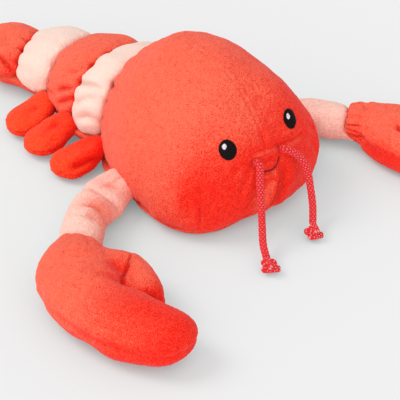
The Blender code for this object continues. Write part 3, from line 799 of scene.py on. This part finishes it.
# the middle line of each arm seen from above, from the body to the wrist
ARM_LINES = {
    "arm_right": [(-36, -6), (-52, -9.5), (-69, -13.5), (-82.5, -20.5), (-93, -31), (-102, -44)],
    "arm_left": [(36, -12), (51, -19), (64, -27), (72.5, -36.5), (79, -46.5), (86, -57)],
}
LEFT_WRIST = np.array((82, -50, 0)) * MM
INTO_CUFF = np.array((0.6, -0.8, 0))

arm_plush = plush(
    "pale_salmon_plush", ARM_LIT_TIPS, ARM_SHADED_ROOTS,
    painted_light=0.62, speckle=2.4, mottle=0.9, sheen=0.3, sheen_tint=ARM_SHEEN,
)
arms = {}


def tuck(piece, centre, axis, start, reach, share):
    """Draws a tube's end in towards its middle line, where it goes into the next piece."""
    centre = np.array(centre) * MM
    axis = one_long(axis)
    spots = cloth_points(piece) - centre
    along = spots @ axis
    squeeze = 1.0 - share * np.clip((along / MM - start) / reach, 0.0, 1.0)
    middle = along[:, None] * axis
    place_points(piece, middle + (spots - middle) * squeeze[:, None] + centre)


for number, (node, line) in enumerate(ARM_LINES.items()):
    arm = even_skin(node + "_plush", node, ARM_CELL, rounding=4, plump=0.4)
    (x0, y0), (x1, y1) = line[4], line[5]
    wrist = ((x0 + x1) / 2, (y0 + y1) / 2, 10.0)
    tuck(arm, wrist, (x1 - x0, y1 - y0, 0), start=-4.0, reach=8.0, share=0.28)
    if node == "arm_left":
        (x0, y0), (x1, y1) = line[1], line[2]
        tuck(arm, (x0, y0, 9.0), (x0 - x1, y0 - y1, 0), start=-4.0, reach=12.0, share=0.25)
    else:
        # the right arm's root goes in behind the edge of the carapace
        root = cloth_points(arm)
        sunk = np.clip((root[:, 0] / MM + 76.0) / 17.0, 0.0, 1.0)
        sunk = sunk * sunk * (3 - 2 * sunk)
        root[:, 1] += 0.6 * sunk * np.minimum(root[:, 1] + 12.0 * MM, 0.0)
        root += (6.0 * MM * sunk)[:, None] * np.array((0.55, 0.83, 0))
        root[:, 2] *= 1.0 - 0.15 * sunk
        place_points(arm, root)
    # the gathers at the body and at the wrist
    for place, count in ((1, 7), (5, 9)):
        x, y = line[place]
        back_x, back_y = line[place - 1]
        way = (x - back_x, y - back_y, 0)
        gathers(arm, (x, y, 11.0), way, 9.0, 0.9, count, seed=80 + 4 * number + place)
    unevenness(arm, 15.0, 0.35, seed=90 + number)
    pile_clumps(arm, seed=92 + number, height=0.06)
    arms[node] = arm
# the wrinkles inside the right arm's bend, painted shade in the bend and at its root, and a painted
# highlight beside the root
for path, width, depth, lips in (
    ([(-74, -27.5, 16), (-78, -23, 21), (-84, -19, 21.5)], 1.7, 1.3, 0.4),
    ([(-81, -33, 14), (-85, -29, 20), (-90, -25, 21.5)], 1.8, 1.1, 0.4),
    ([(-62, -25, 10), (-65.5, -20, 18), (-69, -13, 21), (-71, -7, 18)], 2.0, 1.1, 0.3),
):
    crease(arms["arm_right"], path, width, depth, lips)
for place, reach, amount in (
    ((-77, -22, 19), 10.0, 1.5),
    ((-58.1, -12.7, 18), 3.6, 1.8),
    ((-63, -17.5, 17), 6.0, -0.9),
):
    brush_and_shade(arms["arm_right"], place, reach, amount)
# the left arm's end goes up into its cuff
wrist = cloth_points(arms["arm_left"])
sunk = np.clip(((wrist - LEFT_WRIST) @ INTO_CUFF / MM + 13.0) / 8.0, 0.0, 1.0)
wrist += (2.6 * MM * sunk)[:, None] * INTO_CUFF
wrist[:, 2] += (13.0 * MM - wrist[:, 2]) * 0.14 * sunk
place_points(arms["arm_left"], wrist)
crease(arms["arm_left"], [(63, -38, 10), (66, -36, 17), (71, -32, 21)], 1.8, 1.0, 0.4)
for node, arm in arms.items():
    finish_cushion(arm, arm_plush, node)

# The claws
# Each claw is a stuffed mitten of the body's red plush, a long curved finger and a short thumb,
# from a top and a bottom cloth with a seam all round the edge. The wrist is gathered on the arm.
CLAW_CELL = 2.45 * MM

claw_right = even_skin("claw_right_plush", "claw_right", CLAW_CELL, rounding=6, plump=0.5)
fullness(claw_right, (-92, -80, 17), 11.0, 2.2)
smooth_out(claw_right, (-100.5, -69.5, 20), 9.0, 90)
fullness(claw_right, (-99, -62, 21), 8.0, 1.6)
fullness(claw_right, (-106.5, -82, 23), 5.0, -2.0)
palm_dip = [
    (-116.5, -69, 28.4), (-113, -73, 28), (-110.5, -77.5, 26.5),
    (-108.5, -82, 24), (-107.5, -88, 23),
]
thumb_seam = [
    (-87.5, -64.5, 18), (-90.7, -67.2, 21), (-94.9, -69.9, 20.6),
    (-99.7, -73.8, 19.6), (-103.5, -77, 21.4), (-106.8, -80.8, 22.4),
]
finger_valley = [
    (-103.9, -75.5, 21.9), (-107.2, -81, 22.6), (-106.7, -84, 22.7),
    (-105.3, -87, 22.8), (-103.8, -89.5, 22.3), (-101.6, -91.5, 20.8),
    (-99.5, -93, 18.7), (-97.5, -94.2, 16.4), (-95.8, -94.5, 13.9),
]
crease(claw_right, palm_dip, 3.6, 1.2, 0.1)
fold_over(claw_right, thumb_seam, (-0.75, 0.65, 0), 1.3, 7.0)
crease(claw_right, thumb_seam, 0.9, 1.7, 0.2, fade=0.3)
crease(claw_right, finger_valley, 1.5, 1.9, 0.1, fade=0.3)
# painted shade in the creases by the thumb; the finger's tip and its outer side are deeper
for place, reach, amount in (
    ((-101.2, -70.6, 21), 6.5, 1.5),
    ((-106.5, -80, 21), 5.0, 0.4),
    ((-106, -116, 21), 28.0, 2.5),
    ((-122, -90, 22), 20.0, 1.0),
):
    brush_and_shade(claw_right, place, reach, amount)
gathers(claw_right, (-103.5, -41.5, 13), (-0.66, -0.75, 0), reach=8.0, depth=1.1, count=10, seed=101)

# the left claw's cuff is drawn in over the arm, and its open end is wider in front and below
claw_left = even_skin("claw_left_plush", "claw_left", CLAW_CELL, rounding=6, plump=0.5)
cuff_front = np.array((-0.8, -0.6, 0))
cuff = cloth_points(claw_left)
from_wrist = (cuff - LEFT_WRIST) @ INTO_CUFF / MM
cuff += (1.8 * MM * np.clip((7.0 - from_wrist) / 9.0, 0.0, 1.0))[:, None] * INTO_CUFF
open_end = np.clip((6.0 - from_wrist) / 9.0, 0.0, 1.0)
front = (cuff - LEFT_WRIST) @ cuff_front - 2.0 * MM
cuff += (0.12 * open_end * np.maximum(front, 0.0))[:, None] * cuff_front
cuff[:, 2] -= 0.12 * open_end * np.maximum(14.0 * MM - cuff[:, 2], 0.0)
place_points(claw_left, cuff)
cuff_ring = [
    (77.5, -59, 16.5), (80, -57.5, 21), (84.8, -54, 22.5), (91, -49.8, 18), (92.5, -48.5, 11),
]
crease(claw_left, cuff_ring, 1.8, 2.1, 0.3, fade=0.3)
fullness(claw_left, (96, -72, 27), 12.0, -3.3)
fullness(claw_left, (104, -74, 22), 13.0, -2.6)
fullness(claw_left, (73.5, -60.5, 5), 6.0, 3.4)
smooth_out(claw_left, (73, -60, 5), 10.0, 60)
fullness(claw_left, (65, -93, 6), 12.0, -2.5)
# painted shade along the claw's low inner side
for place, reach, amount in (
    ((70, -60, 9), 8.0, 0.8),
    ((67.5, -72, 8), 10.0, 2.0),
    ((67, -85, 9), 12.0, 2.2),
):
    brush_and_shade(claw_left, place, reach, amount)
# the fold and the dip between its thumb and its finger
thumb_fold = [(88, -73, 24.5), (85.8, -76.4, 23.6), (84.2, -79.5, 20.8), (85.5, -84, 17)]
crease(claw_left, thumb_fold, 1.7, 2.4, 0.35)
crease(claw_left, [(96, -80, 27), (91, -82, 25.5), (88, -85, 21)], 4.0, 1.6, 0.1)
gathers(claw_left, (82, -50, 12), (0.6, -0.8, 0), reach=8.0, depth=1.5, count=14, seed=103)

for number, (claw, node) in enumerate(((claw_right, "claw_right"), (claw_left, "claw_left"))):
    edge_seam(claw, 0.9)
    unevenness(claw, 26.0, 0.35, seed=110 + number)
    pile_clumps(claw, seed=112 + number)
    finish_cushion(claw, red_plush, node)

# The eyes
# Each eye is embroidered on the face in satin stitch: close rows of glossy black thread, with a
# small white oval of the same stitch at its upper left.
EYE_HEIGHT = 46.9
EYE_SPACING = 42.0
EYE_HALF_WIDTH = 4.4
EYE_HALF_LENGTH = 5.1
THREAD_PITCH = 0.42
THREAD_WIDE = 0.27 * MM
THREAD_DEEP = 0.24 * MM
THREAD_SIDES = 6

FACE = BVHTree.FromObject(carapace, bpy.context.evaluated_depsgraph_get())


def on_face(x, z):
    """The point of the face at x and z, and the way it faces there."""
    spot, normal, _, _ = FACE.ray_cast(Vector((x * MM, -0.2, z * MM)), Vector((0, 1, 0)))
    return spot, normal


def join_rings(faces, first, rings, sides):
    """Joins rings of points into one closed tube. first is the number of its first point."""
    for i in range(rings - 1):
        for k in range(sides):
            a = first + i * sides + k
            b = first + i * sides + (k + 1) % sides
            faces.append((a, b, b + sides, a + sides))
    last = first + (rings - 1) * sides
    faces.append(tuple(first + k for k in reversed(range(sides))))
    faces.append(tuple(last + k for k in range(sides)))


def tube(verts, faces, line, wide, deep, lift):
    """Adds a round thread along a line of points. lift is the way that its depth is measured."""
    first = len(verts)
    for i, spot in enumerate(line):
        ahead = (line[min(i + 1, len(line) - 1)] - line[max(i - 1, 0)]).normalized()
        up = (lift - ahead * lift.dot(ahead)).normalized()
        side = ahead.cross(up)
        for k in range(THREAD_SIDES):
            turn = 2 * math.pi * k / THREAD_SIDES
            verts.append(spot + side * (wide * math.cos(turn)) + up * (deep * math.sin(turn)))
    join_rings(faces, first, len(line), THREAD_SIDES)


def thread_work(name, verts, faces):
    """A piece of thread or cord from its points and faces."""
    mesh = bpy.data.meshes.new(name)
    mesh.from_pydata(verts, [], faces)
    mesh.shade_smooth()
    piece = bpy.data.objects.new(name, mesh)
    scene.collection.objects.link(piece)
    return piece


def sew_on(piece, yarn, node):
    """Gives a piece its yarn and sets it in place of its solid."""
    piece.data.materials.append(yarn)
    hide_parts(node)
    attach(piece, "root")


def satin_oval(name, x, z, half_wide, half_long, tilt, rise, seed):
    """An oval of satin stitch: rows of thread from edge to edge, which follow the face under them."""
    chance = np.random.default_rng(seed)
    centre, normal = on_face(x, z)
    up = (Vector((0, 0, 1)) - normal * normal.z).normalized()
    side = up.cross(normal).normalized()
    up, side = up * math.cos(tilt) + side * math.sin(tilt), side * math.cos(tilt) - up * math.sin(tilt)
    verts, faces = [], []
    rows = int(2 * half_long / THREAD_PITCH)
    for row in range(rows):
        v = -half_long + (row + 0.5) * 2 * half_long / rows
        reach = half_wide * math.sqrt(max(0.0, 1 - (v / half_long) ** 2)) + chance.uniform(-0.12, 0.16)
        line = []
        for i in range(11):
            share = 2 * i / 10 - 1
            height = v + 0.10 * share + chance.uniform(-0.02, 0.02)
            at = centre + (side * (share * reach) + up * height) * MM
            spot, facing, _, _ = FACE.ray_cast(at + normal * 0.01, -normal)
            crown = max(0.0, 1 - (v / half_long) ** 2 - (share * reach / half_wide) ** 2 * 0.6)
            line.append(spot + facing * ((rise * crown ** 0.5 + 0.12 - 0.3 * share ** 8) * MM))
        tube(verts, faces, line, THREAD_WIDE, THREAD_DEEP, normal)
    return thread_work(name, verts, faces)


def thread(name, colour, fleck, roughness, specular, sheen):
    """Twisted embroidery thread, with finer plies and a slightly uneven dye."""
    yarn, tree, shader = new_material(name)
    fill_in(shader, {"Roughness": roughness, "Specular IOR Level": specular, "Sheen Weight": sheen})
    place = tree.nodes.new("ShaderNodeTexCoord")
    dye = tree.nodes.new("ShaderNodeTexNoise")
    fill_in(dye, {"Scale": 1600.0, "Detail": 2.0})
    tones = tree.nodes.new("ShaderNodeValToRGB")
    tones.color_ramp.elements[0].position = 0.42
    tones.color_ramp.elements[0].color = colour
    tones.color_ramp.elements[1].position = 0.72
    tones.color_ramp.elements[1].color = fleck
    bump = tree.nodes.new("ShaderNodeBump")
    fill_in(bump, {"Strength": 0.5, "Distance": 0.0002})
    tree.links.new(place.outputs["Object"], dye.inputs["Vector"])
    tree.links.new(dye.outputs["Fac"], tones.inputs["Fac"])
    tree.links.new(tones.outputs["Color"], shader.inputs["Base Color"])
    tree.links.new(dye.outputs["Fac"], bump.inputs["Height"])
    tree.links.new(bump.outputs["Normal"], shader.inputs["Normal"])
    return yarn


black_thread = thread(
    "black_embroidery_thread", (0.003, 0.002, 0.002, 1.0), (0.012, 0.006, 0.006, 1.0),
    roughness=0.45, specular=0.12, sheen=0.0,
)
white_thread = thread(
    "white_embroidery_thread", (0.88, 0.87, 0.90, 1.0), (0.72, 0.70, 0.76, 1.0),
    roughness=0.5, specular=0.25, sheen=0.1,
)
for side, hand, tilt in ((-1, "right", -16.0), (1, "left", -9.0)):
    x = side * EYE_SPACING / 2
    eye = satin_oval(
        f"eye_{hand}_stitches", x, EYE_HEIGHT, EYE_HALF_WIDTH, EYE_HALF_LENGTH, math.radians(tilt),
        rise=0.55, seed=120 + side,
    )
    sew_on(eye, black_thread, f"eye_{hand}")
    glint = satin_oval(
        f"eye_glint_{hand}_stitches", x - 1.25, EYE_HEIGHT + 1.8, 1.15, 1.45, 0.0,
        rise=0.35, seed=130 + side,
    )
    # the glint is stitched over the black threads
    for point in glint.data.vertices:
        point.co.y -= 0.55 * MM
    sew_on(glint, white_thread, f"eye_glint_{hand}")

# The mouth
# A short smile in dark red thread is back stitched between the two cords, a row of small
# stitches that pull the cloth in.
MOUTH_LINE = ((-7.5, 33), (-5.2, 31.2), (-2.6, 30.2), (0.2, 30), (2.8, 30.7), (5, 32), (6.8, 33.8))

mouth_thread = thread(
    "dark_red_mouth_thread", (0.16, 0.008, 0.006, 1.0), (0.34, 0.02, 0.014, 1.0),
    roughness=0.6, specular=0.25, sheen=0.1,
)
mouth_verts, mouth_faces = [], []
for (x0, z0), (x1, z1) in zip(MOUTH_LINE, MOUTH_LINE[1:]):
    for stitch in range(2):
        line = []
        for i in range(7):
            share = (stitch + i / 6 * 1.08 - 0.04) / 2
            spot, facing = on_face(x0 + (x1 - x0) * share, z0 + (z1 - z0) * share)
            line.append(spot + facing * ((0.42 * math.sin(math.pi * i / 6) ** 0.5 - 0.12) * MM))
        tube(mouth_verts, mouth_faces, line, 0.42 * MM, 0.36 * MM, facing)
mouth = thread_work("mouth_stitches", mouth_verts, mouth_faces)
sew_on(mouth, mouth_thread, "mouth_stitch")

# The antennae
# Two red braided cords, 4 mm thick, are sewn into the face on each side of the mouth and hang to
# the floor. Each ends in an overhand knot, and the right one has a short cut end behind it.
CORD_DIAMETER = 4.0
BRAID_PITCH = 15.0 * MM
STRANDS_EACH_WAY = 6
STRAND_SIDES = 6
STRAND_WEAVE = 0.16
CORE_SIDES = 8
CORE_DEPTH = 0.75
# each route is the middle of the cord, in millimetres, from the face to its knot
RIGHT_ROUTE = (
    (-9.08, -66.20, 37.49), (-9.31, -69.13, 38.22), (-10.29, -71.00, 36.21), (-11.64, -72.32, 32.84),
    (-12.83, -73.83, 29.99), (-13.92, -75.41, 27.39), (-15.01, -76.97, 24.78), (-16.16, -78.55, 22.21),
    (-17.39, -80.14, 19.69), (-18.67, -81.73, 17.17), (-20.02, -83.40, 14.77), (-21.48, -85.19, 12.49),
    (-23.04, -87.06, 10.27), (-24.65, -89.11, 8.36), (-26.28, -91.49, 7.09), (-27.93, -94.19, 6.44),
    (-29.59, -96.96, 5.89),
)
LEFT_ROUTE = (
    (9.08, -66.20, 37.49), (9.33, -68.95, 38.30), (10.98, -71.08, 37.46), (13.13, -72.85, 35.59),
    (14.49, -74.59, 33.59), (15.24, -76.26, 31.23), (15.62, -77.82, 28.66), (15.68, -79.27, 26.10),
    (15.35, -80.57, 23.46), (14.79, -81.83, 20.81), (14.23, -83.16, 18.20), (13.66, -84.48, 15.51),
    (12.91, -85.87, 12.96), (11.79, -87.44, 10.85), (10.13, -89.26, 9.34), (8.16, -91.23, 8.19),
    (6.19, -93.20, 7.02),
)
RIGHT_KNOT = (-32.2, -101.2, 4.8)
LEFT_KNOT = (3, -96.5, 4.8)
CORD_RED = (0.76, 0.004, 0.010, 1.0)
CORD_HIGHLIGHT = (1.0, 0.66, 0.64, 1.0)


def eased(route, steps):
    """A smooth line of even steps through the points of a route, in metres."""
    spots = [Vector(spot) * MM for spot in route]
    spots = [spots[0] * 2 - spots[1], *spots, spots[-1] * 2 - spots[-2]]
    line = []
    for a, b, c, d in zip(spots, spots[1:], spots[2:], spots[3:]):
        for i in range(12):
            t = i / 12
            bend = (2 * a - 5 * b + 4 * c - d) * t * t
            twist = (3 * b - a - 3 * c + d) * t ** 3
            line.append(0.5 * (2 * b + (c - a) * t + bend + twist))
    line.append(spots[-2])
    lengths = [0.0]
    for a, b in zip(line, line[1:]):
        lengths.append(lengths[-1] + (b - a).length)
    marks = np.linspace(0.0, lengths[-1], steps + 1)
    axes = [np.interp(marks, lengths, [spot[axis] for spot in line]) for axis in range(3)]
    return [Vector(spot) for spot in zip(*axes)], lengths[-1]


def braid(name, route, radius, strand_wide=0.64, strand_deep=0.44):
    """A round braid of twelve strands, six each way, woven over and under along a route."""
    count = len(route) * 10
    line, length = eased(route, count)
    aheads = [(line[min(i + 1, count)] - line[max(i - 1, 0)]).normalized() for i in range(count + 1)]
    side = aheads[0].orthogonal().normalized()
    sides = []
    for ahead in aheads:
        side = (side - ahead * side.dot(ahead)).normalized()
        sides.append(side)
    verts, faces, overs = [], [], []
    for way in (1, -1):
        for strand in range(STRANDS_EACH_WAY):
            strand_line = []
            lifts = []
            for i, (spot, ahead, side) in enumerate(zip(line, aheads, sides)):
                turn = 2 * math.pi * (i / count * length) / BRAID_PITCH
                over = way * math.cos(STRANDS_EACH_WAY * turn)
                angle = way * turn + strand * math.pi / 3
                lift = side * math.cos(angle) + ahead.cross(side) * math.sin(angle)
                out = (radius - strand_deep - STRAND_WEAVE + STRAND_WEAVE * over) * MM
                strand_line.append(spot + lift * out)
                lifts.append(lift)
                overs.extend([over] * STRAND_SIDES)
            first = len(verts)
            for i, (spot, lift) in enumerate(zip(strand_line, lifts)):
                ahead = (strand_line[min(i + 1, count)] - strand_line[max(i - 1, 0)]).normalized()
                up = (lift - ahead * lift.dot(ahead)).normalized()
                across = ahead.cross(up)
                for k in range(STRAND_SIDES):
                    turn = 2 * math.pi * k / STRAND_SIDES
                    round_it = across * (strand_wide * math.cos(turn)) + up * (strand_deep * math.sin(turn))
                    verts.append(spot + round_it * MM)
            join_rings(faces, first, count + 1, STRAND_SIDES)
    # the core that fills the braid
    first = len(verts)
    for spot, ahead, side in zip(line, aheads, sides):
        for k in range(CORE_SIDES):
            turn = 2 * math.pi * k / CORE_SIDES
            lift = side * math.cos(turn) + ahead.cross(side) * math.sin(turn)
            verts.append(spot + lift * (radius - CORE_DEPTH) * MM)
            overs.append(-1.0)
    join_rings(faces, first, count + 1, CORE_SIDES)
    cord = thread_work(name, verts, faces)
    mark = cord.data.attributes.new("over", "FLOAT", "POINT")
    mark.data.foreach_set("value", overs)
    return cord, line, length


cord_yarn, tree, shader = new_material("red_braided_cord")
fill_in(shader, {"Roughness": 0.5, "Specular IOR Level": 0.3, "Sheen Weight": 0.08})
over = tree.nodes.new("ShaderNodeAttribute")
over.attribute_name = "over"
place = tree.nodes.new("ShaderNodeTexCoord")
plies = tree.nodes.new("ShaderNodeTexNoise")
fill_in(plies, {"Scale": 1500.0, "Detail": 2.0})
# painted highlight: the crest of each strand where it lies over turns lighter pink, in patches
crest = tree.nodes.new("ShaderNodeMapRange")
fill_in(crest, {"From Min": 0.87, "From Max": 1.0})
fleck = tree.nodes.new("ShaderNodeMath")
fleck.operation = "MULTIPLY"
tones = tree.nodes.new("ShaderNodeMix")
tones.data_type = "RGBA"
fill_in(tones, {"A": CORD_RED, "B": CORD_HIGHLIGHT})
bump = tree.nodes.new("ShaderNodeBump")
fill_in(bump, {"Strength": 0.5, "Distance": 0.0003})
tree.links.new(over.outputs["Fac"], crest.inputs["Value"])
tree.links.new(place.outputs["Object"], plies.inputs["Vector"])
tree.links.new(crest.outputs["Result"], fleck.inputs[0])
tree.links.new(plies.outputs["Fac"], fleck.inputs[1])
tree.links.new(fleck.outputs["Value"], tones.inputs["Factor"])
tree.links.new(tones.outputs["Result"], shader.inputs["Base Color"])
tree.links.new(plies.outputs["Fac"], bump.inputs["Height"])
tree.links.new(bump.outputs["Normal"], shader.inputs["Normal"])


KNOT_SIZE = 0.95
KNOT_RISE = 1.45
# the share of the knot's closed loop that is left open for the cord and the cut end
KNOT_GAP = 0.16


def knot_route(cord_end, centre, turn, stub):
    """The cord's way through an overhand knot on the floor, from where it comes in to its cut end."""
    route = [cord_end]
    for i in range(17):
        t = math.pi * (1.0 + KNOT_GAP) + (2 * math.pi * (1 - KNOT_GAP)) * i / 16
        x = KNOT_SIZE * (math.sin(t) + 2 * math.sin(2 * t))
        y = KNOT_SIZE * (math.cos(t) - 2 * math.cos(2 * t))
        z = -KNOT_RISE * math.sin(3 * t)
        route.append((
            centre[0] + x * math.cos(turn) - y * math.sin(turn),
            centre[1] + x * math.sin(turn) + y * math.cos(turn),
            centre[2] + z,
        ))
    route.append(tuple(centre[axis] + stub[axis] for axis in range(3)))
    return route


for hand, route, centre, turn, stub in (
    ("right", RIGHT_ROUTE, RIGHT_KNOT, math.radians(-60.0), (4.4, -3.2, -2.2)),
    ("left", LEFT_ROUTE, LEFT_KNOT, math.radians(-20.0), (3.4, -3.4, -1.6)),
):
    cord, line, length = braid(f"antenna_{hand}_cord", route, CORD_DIAMETER / 2)
    through_knot = knot_route(route[-1], centre, turn, stub)
    knot, _, _ = braid(f"antenna_knot_{hand}_cord", through_knot, 1.75, strand_wide=0.58, strand_deep=0.40)
    sew_on(cord, cord_yarn, f"antenna_{hand}")
    sew_on(knot, cord_yarn, f"antenna_knot_{hand}")
